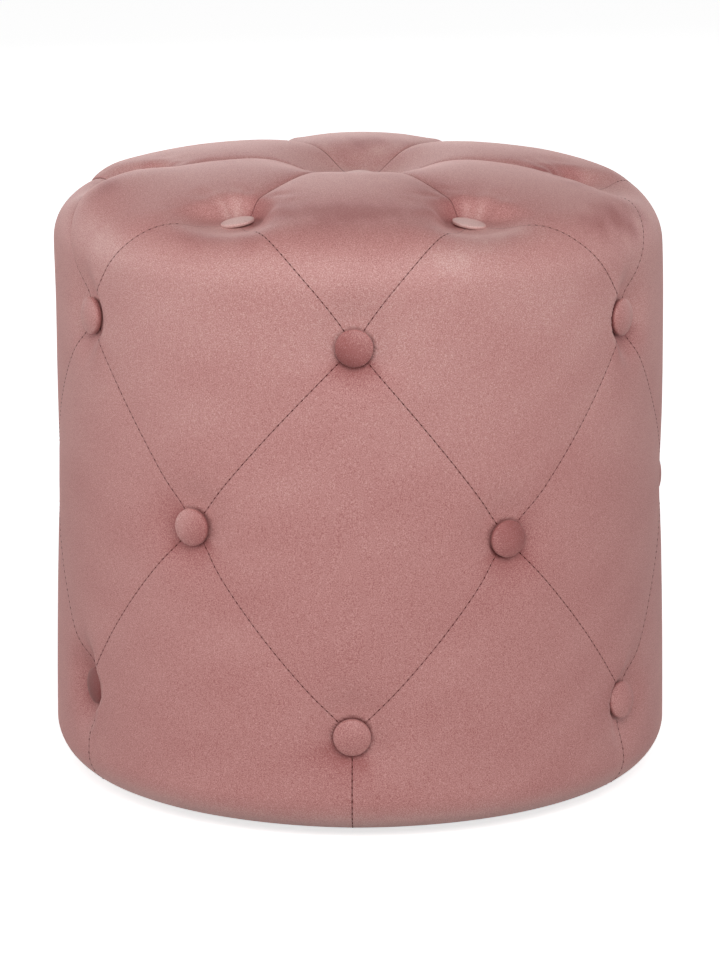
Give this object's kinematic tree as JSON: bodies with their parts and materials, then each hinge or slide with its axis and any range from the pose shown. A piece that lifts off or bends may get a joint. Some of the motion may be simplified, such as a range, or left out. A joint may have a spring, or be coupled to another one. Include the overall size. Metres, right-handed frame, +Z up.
{
  "type": "pouf",
  "caption": "Round upholstered pouf in rose velvet, deep-buttoned in diamonds on the top and the side, on a drum body with low glides.",
  "frame": {"origin": "on the floor under the middle of the base, between the four glides", "axes": "+Z up, -Y to the front, where one upper button and one lower button face the viewer, +X to the right"},
  "size_m": [0.4014, 0.3998, 0.4022],
  "materials": {
    "velvet": "short-pile velvet, dusty rose",
    "foam": "cut upholstery foam",
    "fibre_drum": "wound fibreboard",
    "plywood": "raw poplar plywood",
    "dust_cover": "black non-woven cloth",
    "glide": "moulded black nylon"
  },
  "bodies": {
    "root": {"top_panel_1": "velvet", "top_panel_2": "velvet", "top_panel_3": "velvet", "top_panel_4": "velvet", "top_panel_5": "velvet", "top_panel_6": "velvet", "upper_panel_1": "velvet", "upper_panel_2": "velvet", "upper_panel_3": "velvet", "upper_panel_4": "velvet", "upper_panel_5": "velvet", "upper_panel_6": "velvet", "middle_panel_1": "velvet", "middle_panel_2": "velvet", "middle_panel_3": "velvet", "middle_panel_4": "velvet", "middle_panel_5": "velvet", "middle_panel_6": "velvet", "lower_panel_1": "velvet", "lower_panel_2": "velvet", "lower_panel_3": "velvet", "lower_panel_4": "velvet", "lower_panel_5": "velvet", "lower_panel_6": "velvet", "top_centre_button": "velvet", "top_button_1": "velvet", "top_button_2": "velvet", "top_button_3": "velvet", "top_button_4": "velvet", "top_button_5": "velvet", "top_button_6": "velvet", "upper_button_1": "velvet", "upper_button_2": "velvet", "upper_button_3": "velvet", "upper_button_4": "velvet", "upper_button_5": "velvet", "upper_button_6": "velvet", "middle_button_1": "velvet", "middle_button_2": "velvet", "middle_button_3": "velvet", "middle_button_4": "velvet", "middle_button_5": "velvet", "middle_button_6": "velvet", "lower_button_1": "velvet", "lower_button_2": "velvet", "lower_button_3": "velvet", "lower_button_4": "velvet", "lower_button_5": "velvet", "lower_button_6": "velvet", "top_foam": "foam", "side_foam": "foam", "drum": "fibre_drum", "top_board": "plywood", "base_board": "plywood", "dust_cover": "dust_cover", "glide_1": "glide", "glide_2": "glide", "glide_3": "glide", "glide_4": "glide"}
  },
  "joints": []
}
